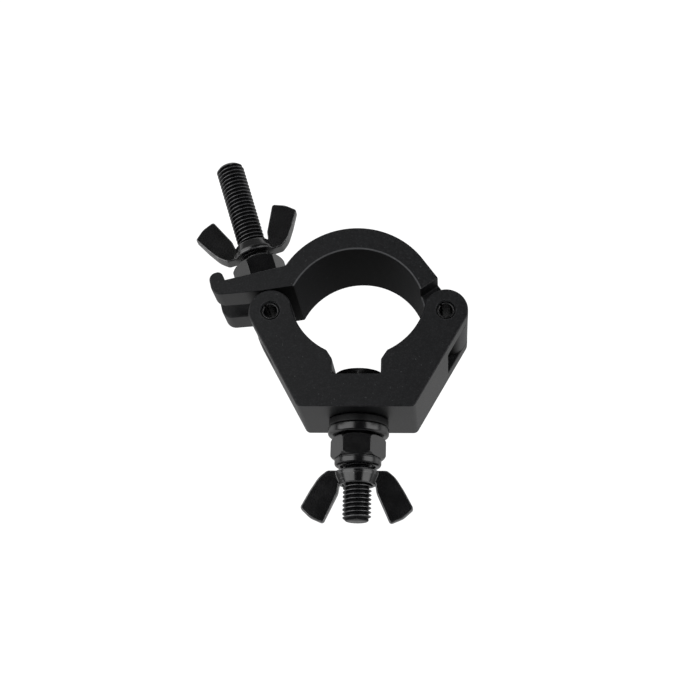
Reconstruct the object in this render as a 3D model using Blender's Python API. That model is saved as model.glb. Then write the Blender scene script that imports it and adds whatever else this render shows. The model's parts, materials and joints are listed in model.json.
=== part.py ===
"""Pipe clamp with a hinged upper jaw, a swinging eye bolt and a hanging bolt.

Frame: the origin is the centre of the gripped tube, Y runs along the tube, Z is up and the
hanging bolt points down.  All lengths are in metres.
"""
import math

import bmesh
import bpy
from mathutils import Matrix, Vector

# Driving dimensions
BORE_R = 0.0240            # radius of the tube seat in the body
BODY_W = 0.0350            # width of the extruded body and jaw along the tube
PIN_X = 0.0307             # hinge pins, left and right of the tube
PIN_Z = -0.0070
EAR_R = 0.00765            # radius of the hinge ears around the pins
BODY_BOTTOM_Z = -0.0419
BODY_FOOT_X = 0.0200       # half the length of the flat bottom
SIDE_BREAK_Z = -0.0089     # where the ear's upright side turns into the slanted side
NOTCH_HALF = 0.0084        # notch that holds the bolt head
NOTCH_FLOOR_Z = -0.0301
NOTCH_WALL = 0.0052        # upright part of the notch's side, before it opens into the seat
SLOT_OUTER = (0.0324, -0.0223)       # two points on the sloping floor of the ears' slots
SLOT_INNER = (0.0219, -0.0098)
JAW_SLOT = 0.0210          # slot of the right ear, for the jaw's knuckle
BOLT_SLOT = 0.0122         # slot of the left ear, for the eye bolt
JAW_BORE_R = 0.0241
JAW_OUTER_R = 0.0291
JAW_OUTER_C = (0.0006, 0.0032)
JAW_HEEL = (0.0330, 0.0003)
ARM_TOP_Z = 0.0239         # top of the arm with the jaw on a tube
KNUCKLE_W = 0.0204
FORK_SLOT = 0.0120
FORK_END_X = -0.0298       # centre of the fork slot's round inner end
CLOSED_ANGLE = math.radians(14.76)   # how far the empty jaw shuts past the tube's outline
SWING_LEAN = math.radians(17.9)      # lean of the swing bolt from upright

PIN_R = 0.0030
PIN_BORE_R = 0.0024
PIN_HOLE_R = 0.0033
PIN_MOUTH_R = 0.0036
PIN_RECESS = 0.0006
PIN_SLIT_AT = 130          # direction of the pins' slit, in degrees from +X

THREAD_R = 0.0050          # M10 hanging bolt
CLEAR_R = 0.0053           # bore of a nut or washer on that thread
SWING_THREAD_R = 0.0052    # the swing bolt's thread is a little larger
SWING_CLEAR_R = 0.0055
NUT_FLAT = 0.0170          # across flats
HEAD_FLAT = 0.0162
HEAD_TOP_Z = -0.0250
CHAMFER_H = 0.0015         # height of the chamfer at a hexagon's corners
CHAMFER_RIM = 0.96         # inner rim of the chamfer, as a share of half the flats
BOLT_TIP = 0.0009
EYE_R = 0.0075
EYE_W = 0.0115
SWING_TIP = 0.0678         # eye centre to bolt tip
SWING_NUT = 0.0178         # eye centre to the lower face of the hexagon nut
SWING_NUT_H = 0.0084
SWING_WING = 0.0291        # eye centre to the base of its wing nut
MAIN_TIP_Z = -0.0779
MAIN_WING_Z = -0.0606
NUT_HEX = 0.0076           # the lock nut's hexagon, then its round collar
NUT_COLLAR = 0.0028
NUT_COLLAR_R = 0.0082
NUT_HEIGHT = NUT_HEX + NUT_COLLAR
NUT_LIP = 0.0004           # the collar's end past the nylon ring
LIP_R = 0.0062
INSERT_R = 0.0068
INSERT_H = 0.0022
UPPER_WASHER_H = 0.0026
LOWER_WASHER_H = 0.0031

WASHER_EDGE = 0.0003

WING_HUB_R = 0.0078
WING_HUB_TOP_R = 0.0064
WING_HUB_BAND = 0.0015
WING_HUB_H = 0.0048
WING_H = 0.0183
WING_ROOT_T = 0.0060       # a wing's thickness at the hub's base and at its tip
WING_TIP_T = 0.0024

GAP = 0.0003               # clearance between touching pieces
OVERSHOOT = 0.0010         # how far a cutter runs past what it cuts

SEGMENTS = 40


# ---------------------------------------------------------------- outlines in the XZ plane
def arc(centre, radius, start, end, count):
    """Points on an arc, angles in degrees."""
    points = []
    for i in range(count + 1):
        a = math.radians(start + (end - start) * i / count)
        points.append((centre[0] + radius * math.cos(a), centre[1] + radius * math.sin(a)))
    return points


def rounded(points, radii, count=4):
    """The polygon with each corner rounded by its own radius."""
    out = []
    total = len(points)
    for i, point in enumerate(points):
        here = Vector(point)
        before = (Vector(points[i - 1]) - here).normalized()
        after = (Vector(points[(i + 1) % total]) - here).normalized()
        radius = radii[i]
        half = before.angle(after) / 2
        if radius <= 0 or half > math.radians(89):
            out.append(tuple(here))
            continue
        reach = radius / math.tan(half)
        centre = here + (before + after).normalized() * (radius / math.sin(half))
        first = here + before * reach - centre
        last = here + after * reach - centre
        for step in range(count + 1):
            t = step / count
            spoke = (first * (1 - t) + last * t).normalized() * radius
            out.append(tuple(centre + spoke))
    return out


def mirrored(points):
    """The same outline on the other side of the YZ plane, in reverse order."""
    return [(-x, z) for x, z in reversed(points)]


def polar_angle(point, centre=(0.0, 0.0)):
    """Angle in degrees of a point seen from a centre."""
    return math.degrees(math.atan2(point[1] - centre[1], point[0] - centre[0]))


# ---------------------------------------------------------------- solids
def material(name, colour, roughness, metallic):
    mat = bpy.data.materials.new(name)
    mat.use_nodes = True
    shader = mat.node_tree.nodes["Principled BSDF"]
    shader.inputs["Base Color"].default_value = (*colour, 1.0)
    shader.inputs["Roughness"].default_value = roughness
    shader.inputs["Metallic"].default_value = metallic
    return mat


def mesh_object(name, bm, mat=None):
    """Turn a bmesh into a named object with outward faces."""
    bmesh.ops.remove_doubles(bm, verts=bm.verts, dist=1e-6)
    bmesh.ops.recalc_face_normals(bm, faces=bm.faces)
    mesh = bpy.data.meshes.new(name)
    bm.to_mesh(mesh)
    bm.free()
    mesh.shade_smooth()
    mesh.set_sharp_from_angle(angle=math.radians(32))
    obj = bpy.data.objects.new(name, mesh)
    bpy.context.scene.collection.objects.link(obj)
    if mat:
        mesh.materials.append(mat)
    return obj


def extrude_y(outline, y_min, y_max):
    """A closed outline of the XZ plane, extruded along Y."""
    bm = bmesh.new()
    verts = [bm.verts.new((x, y_min, z)) for x, z in outline]
    face = bm.faces.new(verts)
    result = bmesh.ops.extrude_face_region(bm, geom=[face])
    moved = [item for item in result["geom"] if isinstance(item, bmesh.types.BMVert)]
    bmesh.ops.translate(bm, verts=moved, vec=(0, y_max - y_min, 0))
    return bm


def turned(profile, segments=SEGMENTS):
    """A closed profile of (radius, height) pairs turned about Z."""
    bm = bmesh.new()
    rings = []
    for radius, height in profile:
        if radius < 1e-7:
            rings.append([bm.verts.new((0, 0, height))])
            continue
        ring = []
        for i in range(segments):
            a = 2 * math.pi * i / segments
            ring.append(bm.verts.new((radius * math.cos(a), radius * math.sin(a), height)))
        rings.append(ring)
    for index, ring in enumerate(rings):
        other = rings[(index + 1) % len(rings)]
        if len(ring) == 1 and len(other) == 1:
            continue
        for i in range(segments):
            j = (i + 1) % segments
            corners = [ring[i % len(ring)], ring[j % len(ring)], other[j % len(other)], other[i % len(other)]]
            bm.faces.new(list(dict.fromkeys(corners)))
    return bm


def turned_y(x, z, profile, segments=SEGMENTS):
    """A profile of (radius, distance along Y) pairs turned about an axis along Y."""
    bm = turned(profile, segments)
    bmesh.ops.rotate(bm, verts=bm.verts, cent=(0, 0, 0), matrix=Matrix.Rotation(-math.pi / 2, 3, "X"))
    bmesh.ops.translate(bm, verts=bm.verts, vec=(x, 0, z))
    return bm


def rod(radius, low, high):
    """Profile of a plain rod for turning."""
    return [(0, low), (radius, low), (radius, high), (0, high)]


def boolean(target, bm, operation="DIFFERENCE"):
    """Cut or join a helper solid that shares the target's placement."""
    helper = mesh_object(target.name + "_cutter", bm)
    helper.hide_render = True
    helper.display_type = "WIRE"
    helper.matrix_world = target.matrix_world
    helper.parent = target.parent
    helper.location = target.location
    helper.rotation_euler = target.rotation_euler
    modifier = target.modifiers.new(operation.title(), "BOOLEAN")
    modifier.operation = operation
    modifier.solver = "EXACT"
    modifier.object = helper


def pivot(name, location, angle=0.0):
    """An empty on a joint's axis, turned about Y."""
    empty = bpy.data.objects.new(name, None)
    empty.location = location
    empty.rotation_euler = (0, angle, 0)
    bpy.context.scene.collection.objects.link(empty)
    return empty


def shifted(points, origin):
    return [(x - origin[0], z - origin[1]) for x, z in points]


# ---------------------------------------------------------------- body
def body_outline():
    """Front outline of the clamp body, anticlockwise from the right end of the notch floor."""
    ear = (PIN_X, PIN_Z)
    touch = polar_angle(ear)
    notch_top = polar_angle((NOTCH_HALF, -math.sqrt(BORE_R ** 2 - NOTCH_HALF ** 2)))
    notch_side = [(NOTCH_HALF, NOTCH_FLOOR_Z), (NOTCH_HALF, NOTCH_FLOOR_Z + NOTCH_WALL)]
    seat = arc((0, 0), BORE_R, notch_top + 5.5, touch - 1.5, 14)
    crown = arc(ear, EAR_R, touch + 174, 0, 18)
    side = rounded(
        [crown[-1], (PIN_X + EAR_R, SIDE_BREAK_Z), (BODY_FOOT_X, BODY_BOTTOM_Z), (0, BODY_BOTTOM_Z)],
        [0, 0.004, 0.002, 0])
    right = notch_side + seat + crown[:-1] + side[:-1]
    return right + mirrored(right)


def slot_outline():
    """Region cut for a slot in the right ear: above and outside the slot's sloping floor."""
    run = (Vector(SLOT_OUTER) - Vector(SLOT_INNER)) * 0.6
    low = Vector(SLOT_OUTER) + run
    high = Vector(SLOT_INNER) - run
    far = PIN_X * 2
    return [tuple(low), (far, low.y), (far, BORE_R), (high.x, BORE_R), tuple(high)]


def make_body(mat):
    half = BODY_W / 2
    body = mesh_object("clamp_body", extrude_y(body_outline(), -half, half), mat)
    boolean(body, extrude_y(slot_outline(), -JAW_SLOT / 2, JAW_SLOT / 2))
    boolean(body, extrude_y(mirrored(slot_outline()), -BOLT_SLOT / 2, BOLT_SLOT / 2))
    mouth = half - PIN_RECESS
    hole = [(0, -BODY_W), (PIN_MOUTH_R, -BODY_W), (PIN_MOUTH_R, -mouth), (PIN_HOLE_R, -mouth),
            (PIN_HOLE_R, mouth), (PIN_MOUTH_R, mouth), (PIN_MOUTH_R, BODY_W), (0, BODY_W)]
    for side in (-1, 1):
        boolean(body, turned_y(side * PIN_X, PIN_Z, hole, 32))
    boolean(body, turned(rod(CLEAR_R, BODY_BOTTOM_Z - OVERSHOOT, NOTCH_FLOOR_Z + OVERSHOOT), 32))
    return body


# ---------------------------------------------------------------- upper jaw
def jaw_outline():
    """Front outline of the jaw as it sits on a tube, anticlockwise from the heel's corner."""
    corner = (-0.0185, 0.0155)
    arm = rounded(
        [(-0.0196, ARM_TOP_Z), (-0.0422, ARM_TOP_Z + 0.0003), (-0.0422, 0.0278), (-0.0473, 0.0278),
         (-0.0473, 0.0196), (-0.0320, 0.0169), corner],
        [0, 0.0005, 0.0019, 0.0026, 0.0038, 0.02, 0])
    lift = math.sqrt(JAW_OUTER_R ** 2 - (ARM_TOP_Z - JAW_OUTER_C[1]) ** 2)
    start = polar_angle((JAW_OUTER_C[0] - lift, ARM_TOP_Z), JAW_OUTER_C)
    crown = arc(JAW_OUTER_C, JAW_OUTER_R, 19.8, start, 26)
    knuckle = arc((PIN_X, PIN_Z), EAR_R, 167, 433, 26)
    mouth = arc((0, 0), JAW_BORE_R, polar_angle(corner), -8, 30)
    return [JAW_HEEL] + crown + arm[1:-1] + mouth + knuckle[:-1]


def make_jaw(mat, hinge):
    """The jaw, with its origin on the hinge axis."""
    pin = (PIN_X, PIN_Z)
    half = BODY_W / 2
    outline = shifted(jaw_outline(), pin)
    jaw = mesh_object("upper_jaw", extrude_y(outline, -half, half), mat)
    jaw.parent = hinge
    step = [(0.0360, 0.0069), (0.0170, 0), (0.0170, -0.0200), (0.0450, -0.0200), (0.0450, 0.0069)]
    for end in (-1, 1):
        reach = sorted((end * KNUCKLE_W / 2, end * BODY_W))
        boolean(jaw, extrude_y(shifted(step, pin), reach[0], reach[1]))
    boolean(jaw, turned_y(0, 0, rod(PIN_HOLE_R, -BODY_W, BODY_W), 32))
    boolean(jaw, fork_cutter(pin))
    return jaw


def fork_cutter(pin):
    """The open slot between the tines, with a round inner end."""
    bm = bmesh.new()
    end_x = FORK_END_X - pin[0]
    half = FORK_SLOT / 2
    far_x = -0.100
    outline = [(far_x, -half), (end_x, -half)]
    outline += [(end_x + half * math.sin(math.radians(a)), -half * math.cos(math.radians(a)))
                for a in range(15, 180, 15)]
    outline += [(end_x, half), (far_x, half)]
    face = bm.faces.new([bm.verts.new((x, y, 0.010)) for x, y in outline])
    result = bmesh.ops.extrude_face_region(bm, geom=[face])
    moved = [item for item in result["geom"] if isinstance(item, bmesh.types.BMVert)]
    bmesh.ops.translate(bm, verts=moved, vec=(0, 0, 0.040))
    return bm


# ---------------------------------------------------------------- hardware
def make_pin(name, side, mat):
    """A slotted spring pin, split along its length."""
    half = BODY_W / 2 - PIN_RECESS
    slit = 8
    slit_inside = 10
    outer = arc((0, 0), PIN_R, PIN_SLIT_AT + slit, PIN_SLIT_AT + 360 - slit, 28)
    inner = arc((0, 0), PIN_BORE_R, PIN_SLIT_AT + 360 - slit_inside, PIN_SLIT_AT + slit_inside, 28)
    pin = mesh_object(name, extrude_y(outer + inner, -half, half), mat)
    pin.location = (side * PIN_X, 0, PIN_Z)
    return pin


def hexagon(flat, height, base):
    bm = bmesh.new()
    corner = flat / math.sqrt(3)
    ring = []
    for i in range(6):
        a = math.radians(60 * i)
        ring.append(bm.verts.new((corner * math.cos(a), corner * math.sin(a), base)))
    face = bm.faces.new(ring)
    result = bmesh.ops.extrude_face_region(bm, geom=[face])
    moved = [item for item in result["geom"] if isinstance(item, bmesh.types.BMVert)]
    bmesh.ops.translate(bm, verts=moved, vec=(0, 0, height))
    return bm


def hex_chamfer(flat):
    """Radius of a chamfer's inner rim and a radius just outside the corners."""
    return flat / 2 * CHAMFER_RIM, flat / math.sqrt(3) + 0.0001


def make_hex_nut(name, parent, mat):
    """A plain hexagon nut, chamfered on both sides, local Z along the thread."""
    rim, corner = hex_chamfer(NUT_FLAT)
    section = [(SWING_CLEAR_R, 0), (rim, 0), (corner, CHAMFER_H), (corner, SWING_NUT_H - CHAMFER_H),
               (rim, SWING_NUT_H), (SWING_CLEAR_R, SWING_NUT_H)]
    nut = mesh_object(name, turned(section), mat)
    nut.parent = parent
    boolean(nut, hexagon(NUT_FLAT, SWING_NUT_H + 2 * OVERSHOOT, -OVERSHOOT), "INTERSECT")
    return nut


def make_lock_nut(name, parent, mat):
    """Hexagon with a round collar above it, local Z along the thread."""
    rim, corner = hex_chamfer(NUT_FLAT)
    edge = 0.0007
    lip_z = NUT_HEIGHT - NUT_LIP
    seat = lip_z - INSERT_H - 2 * GAP
    hexagonal = [(CLEAR_R, 0), (rim, 0), (corner, CHAMFER_H), (corner, NUT_HEX - CHAMFER_H)]
    collar = [(NUT_COLLAR_R, NUT_HEX), (NUT_COLLAR_R, NUT_HEIGHT - edge), (NUT_COLLAR_R - edge, NUT_HEIGHT)]
    wide = INSERT_R + GAP
    pocket = [(LIP_R, NUT_HEIGHT), (LIP_R, lip_z), (wide, lip_z), (wide, seat), (CLEAR_R, seat)]
    nut = mesh_object(name, turned(hexagonal + collar + pocket), mat)
    nut.parent = parent
    boolean(nut, hexagon(NUT_FLAT, NUT_HEIGHT + 2 * OVERSHOOT, -OVERSHOOT), "INTERSECT")
    return nut


def make_insert(name, parent, mat):
    """The nylon ring inside the lock nut's collar."""
    base = NUT_HEIGHT - NUT_LIP - INSERT_H - GAP
    ring = mesh_object(name, turned([(CLEAR_R, base), (INSERT_R, base), (INSERT_R, base + INSERT_H),
                                     (CLEAR_R, base + INSERT_H)], 32), mat)
    ring.parent = parent
    return ring


def wing_outline():
    """One wing in its own plane, as (distance from the axis, height over the hub's base)."""
    points = [(0.0056, 0.0001), (0.0104, 0.0001), (0.0133, 0.0024), (0.0164, 0.0072), (0.0196, 0.0130),
              (0.0161, 0.0163), (0.0115, WING_H), (0.0067, 0.0076)]
    return rounded(points, [0, 0.002, 0.010, 0.010, 0.0010, 0.006, 0.0010, 0.003])


def wing_plate(outline):
    """The wing as a solid that gets thinner towards its tip."""
    bm = extrude_y(outline, -0.5, 0.5)
    for vert in bm.verts:
        vert.co.y *= WING_ROOT_T + (WING_TIP_T - WING_ROOT_T) * vert.co.z / WING_H
    return bm


def make_wing_nut(name, parent, bore, mat):
    """Cone-shaped hub with two wings, local Z along the thread."""
    ease = 0.0004
    hub = [(bore, 0), (WING_HUB_R - ease, 0), (WING_HUB_R, ease), (WING_HUB_R, WING_HUB_BAND),
           (WING_HUB_TOP_R, WING_HUB_H), (bore, WING_HUB_H)]
    nut = mesh_object(name, turned(hub), mat)
    nut.parent = parent
    for wing in (wing_outline(), mirrored(wing_outline())):
        boolean(nut, wing_plate(wing), "UNION")
    return nut


def make_main_bolt(mat):
    """Hexagon head in the notch and a threaded shank down through the body."""
    under = NOTCH_FLOOR_Z + GAP
    rim, corner = hex_chamfer(HEAD_FLAT)
    section = [(0, MAIN_TIP_Z), (THREAD_R - BOLT_TIP, MAIN_TIP_Z), (THREAD_R, MAIN_TIP_Z + BOLT_TIP),
               (THREAD_R, under), (corner, under), (corner, HEAD_TOP_Z - CHAMFER_H), (rim, HEAD_TOP_Z),
               (0, HEAD_TOP_Z)]
    bolt = mesh_object("main_bolt", turned(section), mat)
    blank = hexagon(HEAD_FLAT, HEAD_TOP_Z - MAIN_TIP_Z + 2 * OVERSHOOT, MAIN_TIP_Z - OVERSHOOT)
    across = Matrix.Rotation(math.radians(30), 3, "Z")
    bmesh.ops.rotate(blank, verts=blank.verts, cent=(0, 0, 0), matrix=across)
    boolean(bolt, blank, "INTERSECT")
    return bolt


def make_swing_bolt(mat, hinge):
    """Eye around the left pin and a threaded shank, local Z along the shank."""
    bolt = mesh_object("swing_bolt", turned_y(0, 0, rod(EYE_R, -EYE_W / 2, EYE_W / 2)), mat)
    bolt.parent = hinge
    root = 0.003
    radius = SWING_THREAD_R
    shank = [(0, root), (radius, root), (radius, SWING_TIP - BOLT_TIP), (radius - BOLT_TIP, SWING_TIP),
             (0, SWING_TIP)]
    boolean(bolt, turned(shank), "UNION")
    boolean(bolt, turned_y(0, 0, rod(PIN_HOLE_R, -EYE_W, EYE_W), 32))
    return bolt


def make_washer(name, outer, height, top_z, rounding, mat):
    """A washer on the hanging bolt; its lower rim is rounded."""
    low = top_z - height
    section = rounded([(CLEAR_R, low), (outer, low), (outer, top_z), (CLEAR_R, top_z)],
                      [0, rounding, WASHER_EDGE, 0], 2)
    return mesh_object(name, turned(section), mat)


def build():
    for obj in list(bpy.data.objects):
        bpy.data.objects.remove(obj)
    coat = material("black_powder_coat", (0.018, 0.019, 0.021), 0.42, 0.35)
    steel = material("black_oxide_steel", (0.012, 0.012, 0.014), 0.26, 0.8)
    matte = material("matte_black_steel", (0.010, 0.010, 0.011), 0.55, 0.5)
    nylon = material("black_nylon", (0.015, 0.015, 0.016), 0.5, 0.0)

    make_body(coat)
    jaw_hinge = pivot("jaw_axis", (PIN_X, 0, PIN_Z), -CLOSED_ANGLE)
    make_jaw(coat, jaw_hinge)
    make_pin("jaw_hinge_pin", 1, steel)
    make_pin("swing_bolt_pin", -1, steel)

    swing = pivot("swing_axis", (-PIN_X, 0, PIN_Z), -SWING_LEAN)
    make_swing_bolt(steel, swing)
    swing_nut = pivot("swing_nut_axis", (0, 0, SWING_NUT))
    swing_nut.parent = swing
    swing_nut.rotation_euler = (0, 0, math.radians(9.5))
    make_hex_nut("swing_hex_nut", swing_nut, steel)
    swing_wing = pivot("swing_wing_axis", (0, 0, SWING_WING))
    swing_wing.parent = swing
    make_wing_nut("swing_wing_nut", swing_wing, SWING_CLEAR_R, steel)

    make_main_bolt(steel)
    top = BODY_BOTTOM_Z - GAP
    make_washer("upper_washer", 0.0105, UPPER_WASHER_H, top, 0.0004, matte)
    top -= UPPER_WASHER_H + GAP
    make_washer("lower_washer", 0.01075, LOWER_WASHER_H, top, 0.0011, steel)
    top -= LOWER_WASHER_H + GAP
    main_nut = pivot("main_nut_axis", (0, 0, top))
    main_nut.rotation_euler = (math.pi, 0, 0)
    make_lock_nut("main_lock_nut", main_nut, steel)
    make_insert("main_nut_insert", main_nut, nylon)
    main_wing = pivot("main_wing_axis", (0, 0, MAIN_WING_Z))
    main_wing.rotation_euler = (math.pi, 0, 0)
    make_wing_nut("main_wing_nut", main_wing, CLEAR_R, steel)


build()
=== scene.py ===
"""Pipe clamp: the shown pieces, their finishes, the light and the camera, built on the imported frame."""
import json
import math

import bmesh
import bpy
from mathutils import Matrix, Quaternion, Vector


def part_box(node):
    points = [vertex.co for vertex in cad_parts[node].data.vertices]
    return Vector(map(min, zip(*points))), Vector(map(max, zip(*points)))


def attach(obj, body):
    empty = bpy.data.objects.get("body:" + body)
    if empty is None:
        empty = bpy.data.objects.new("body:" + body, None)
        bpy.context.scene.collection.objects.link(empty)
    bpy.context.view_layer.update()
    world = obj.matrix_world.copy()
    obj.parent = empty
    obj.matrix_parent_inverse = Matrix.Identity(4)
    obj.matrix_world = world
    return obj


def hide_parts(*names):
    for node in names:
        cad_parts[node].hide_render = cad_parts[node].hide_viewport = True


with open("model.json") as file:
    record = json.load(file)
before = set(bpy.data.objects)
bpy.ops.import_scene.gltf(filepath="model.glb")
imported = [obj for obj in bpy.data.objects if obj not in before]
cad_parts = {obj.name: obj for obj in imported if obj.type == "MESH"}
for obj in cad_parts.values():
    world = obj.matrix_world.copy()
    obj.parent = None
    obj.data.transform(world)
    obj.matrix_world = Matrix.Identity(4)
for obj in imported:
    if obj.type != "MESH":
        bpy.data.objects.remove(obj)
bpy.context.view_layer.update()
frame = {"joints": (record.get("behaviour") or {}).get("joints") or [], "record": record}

# ---------------------------------------------------------------- sizes
# Lengths are in metres and angles of outlines in degrees. The first group comes from the frame.
MM = 0.001
record = frame["record"]
joints = {joint["name"]: joint for joint in frame["joints"]}
mounts = {mount["name"]: mount for mount in record["mounts"]}
body_low, body_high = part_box("clamp_body")
bolt_low, bolt_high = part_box("main_bolt")
nut_low, nut_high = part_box("main_lock_nut")
wing_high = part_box("main_wing_nut")[1]
insert_low, insert_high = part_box("main_nut_insert")

BORE_R = mounts["tube_seat"]["dims"]["r_mm"] * MM
PIN_X = joints["jaw_hinge"]["pos_m"][0]
PIN_Z = joints["jaw_hinge"]["pos_m"][2]
CLOSED_ANGLE = math.radians(joints["jaw_hinge"]["range_deg"][1])
SHANK = Vector(joints["swing_nut_travel"]["axis"])
SWING_LEAN = math.atan2(-SHANK.x, SHANK.z)
HALF_W = body_high.y
EAR_R = body_high.x - PIN_X
BODY_BOTTOM_Z = body_low.z
GAP = 0.3 * MM

# The rest was measured from the photograph, or chosen where it can't be seen.
BODY_FOOT_X = 20.0 * MM
SIDE_BREAK_Z = -8.9 * MM
SIDE_RADII = [0, 0.004, 0.002, 0]
NOTCH_HALF = 8.4 * MM
NOTCH_FLOOR_Z = -30.1 * MM
NOTCH_WALL = 5.2 * MM
SLOT_OUTER = (32.4 * MM, -22.3 * MM)
SLOT_INNER = (21.9 * MM, -9.8 * MM)
JAW_SLOT = 21.0 * MM
BOLT_SLOT = 12.2 * MM
JAW_BORE_R = BORE_R + 0.1 * MM
JAW_OUTER_R = 29.1 * MM
JAW_OUTER_C = (0.6 * MM, 3.2 * MM)
KNUCKLE_W = 20.4 * MM
FORK_SLOT = 12.0 * MM
FORK_END_X = -29.8 * MM
JAW_HEEL = (33.0 * MM, 0.3 * MM)
ARM_TOP_Z = 23.9 * MM

PIN_R = 3.0 * MM
PIN_BORE_R = 2.4 * MM
PIN_SLIT_AT = 130
PIN_HOLE_R = 3.3 * MM
PIN_MOUTH_R = 3.6 * MM
PIN_RECESS = 0.6 * MM
THREAD_R = 5.0 * MM
THREAD_DEPTH = 0.9 * MM
TIP_STEP = 0.25 * MM
PITCH = 1.5 * MM
CLEAR_R = 5.3 * MM
SWING_THREAD_R = 5.2 * MM
SWING_CLEAR_R = 5.5 * MM
NUT_FLAT = nut_high.y - nut_low.y
EYE_R = 7.5 * MM
EYE_W = 11.5 * MM
SWING_TIP = 67.8 * MM
SWING_NUT = 17.8 * MM
SWING_NUT_H = 8.4 * MM
SWING_WING = 29.1 * MM
HEAD_FLAT = 16.2 * MM
NUT_HEX = 7.6 * MM
NUT_HEIGHT = nut_high.z - nut_low.z
NUT_COLLAR_R = 8.2 * MM
INSERT_R = insert_high.y
INSERT_H = insert_high.z - insert_low.z
WING_HUB_R = wing_high.y
WING_HUB_TOP_R = 6.4 * MM
WING_HUB_BAND = 1.5 * MM
WING_HUB_H = 4.8 * MM
WING_H = 18.3 * MM
WING_ROOT_T = 6.0 * MM
WING_TIP_T = 2.5 * MM
COAT_EDGE = 0.4 * MM
NUT_EDGE = 0.15 * MM
COLLAR_EDGE = 0.12 * MM
NUT_EASE = 0.4 * MM
NUT_LIP = 0.4 * MM
HEX_CORNER_R = 0.45 * MM
HEX_SPARE = 0.001  # how far a nut's hexagon stands past its chamfered solid at each end
CHAMFER_RIM = 0.955
CHAMFER_CURVE = ((0, 0), (0.33, 0.00022), (0.62, 0.00058), (0.84, 0.00108), (1.0, 0.0018))
PAST = 0.030  # how far cutters reach along Y, past both faces
EYE_ROOT = 0.0040
EYE_NECK = 0.0118
EYE_EDGE = 0.35 * MM
EYE_CUT = 0.020
HEAD_PRISM, HEAD_SPARE = 0.020, 0.005
PIN_EDGE = 0.18 * MM
PIN_SLIT_HALF = 8  # half the slit's angle, outside and then at the pin's bore
PIN_SLIT_HALF_INSIDE = 10
BOLT_HOLE = (-0.050, -0.020)  # heights between which the body's bolt hole is cut
VOXEL = 0.15 * MM
WING_EDGE = 0.35 * MM
NUT_TURN = 9.5  # how far the upper nut is turned about its bolt
SAME_POINT = 1e-6
MESH_SHARP = 32

# The jaw's arm from its root over the hook to the bore, with each corner's radius.
ARM_CORNER = (-0.0185, 0.0155)
ARM_POINTS = [(-0.0196, ARM_TOP_Z), (-0.0422, ARM_TOP_Z + 0.0003), (-0.0422, 0.0278), (-0.0473, 0.0278),
              (-0.0473, 0.0196), (-0.0320, 0.0169), ARM_CORNER]
ARM_RADII = [0, 0.0005, 0.0019, 0.0026, 0.0038, 0.02, 0]
CROWN_START = 19.8
# What is cut from both sides of the jaw, so that its knuckle fits between the ears.
JAW_STEP = [(0.0360, 0.0069), (0.0170, 0.0000), (0.0170, -0.0200), (0.0450, -0.0200), (0.0450, 0.0069)]
FORK_OUTER_X = -0.100
FORK_CUT_LOW, FORK_CUT_HEIGHT = 0.010, 0.040
# One wing as (distance from the axis, height over the hub's base), with each corner's radius.
WING_POINTS = [(0.0056, 0.0001), (0.0104, 0.0001), (0.0133, 0.0024), (0.0164, 0.0072), (0.0196, 0.0130),
               (0.0161, 0.0163), (0.0115, WING_H), (0.0067, 0.0076)]
WING_RADII = [0, 0.002, 0.010, 0.010, 0.0010, 0.006, 0.0010, 0.003]
THREAD_SOFT = 0.07 * MM
TIP_SLOPE = 1.1


# ---------------------------------------------------------------- outlines in the XZ plane
def arc(centre, radius, start, end, count):
    """Points on an arc, angles in degrees."""
    points = []
    for i in range(count + 1):
        a = math.radians(start + (end - start) * i / count)
        points.append((centre[0] + radius * math.cos(a), centre[1] + radius * math.sin(a)))
    return points


def rounded(points, radii, count=5):
    """The polygon with each corner rounded by its own radius."""
    out = []
    total = len(points)
    for i, point in enumerate(points):
        here = Vector(point)
        before = (Vector(points[i - 1]) - here).normalized()
        after = (Vector(points[(i + 1) % total]) - here).normalized()
        radius = radii[i]
        half = before.angle(after) / 2
        if radius <= 0 or half > math.radians(89):
            out.append(tuple(here))
            continue
        reach = radius / math.tan(half)
        centre = here + (before + after).normalized() * (radius / math.sin(half))
        first = here + before * reach - centre
        last = here + after * reach - centre
        for step in range(count + 1):
            t = step / count
            spoke = (first * (1 - t) + last * t).normalized() * radius
            out.append(tuple(centre + spoke))
    return out


def mirrored(points):
    return [(-x, z) for x, z in reversed(points)]


def polar_angle(point, centre=(0.0, 0.0)):
    return math.degrees(math.atan2(point[1] - centre[1], point[0] - centre[0]))


def shifted(points, origin):
    return [(x - origin[0], z - origin[1]) for x, z in points]


# ---------------------------------------------------------------- solids
def mesh_object(name, bm):
    """Turn a bmesh into a named object with outward faces and smooth shading."""
    bmesh.ops.remove_doubles(bm, verts=bm.verts, dist=SAME_POINT)
    bmesh.ops.recalc_face_normals(bm, faces=bm.faces)
    mesh = bpy.data.meshes.new(name)
    bm.to_mesh(mesh)
    bm.free()
    mesh.shade_smooth()
    mesh.set_sharp_from_angle(angle=math.radians(MESH_SHARP))
    obj = bpy.data.objects.new(name, mesh)
    bpy.context.scene.collection.objects.link(obj)
    return obj


def extrude_y(outline, y_min, y_max):
    """A closed outline of the XZ plane, extruded along Y."""
    bm = bmesh.new()
    face = bm.faces.new([bm.verts.new((x, y_min, z)) for x, z in outline])
    result = bmesh.ops.extrude_face_region(bm, geom=[face])
    moved = [item for item in result["geom"] if isinstance(item, bmesh.types.BMVert)]
    bmesh.ops.translate(bm, verts=moved, vec=(0, y_max - y_min, 0))
    return bm


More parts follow.
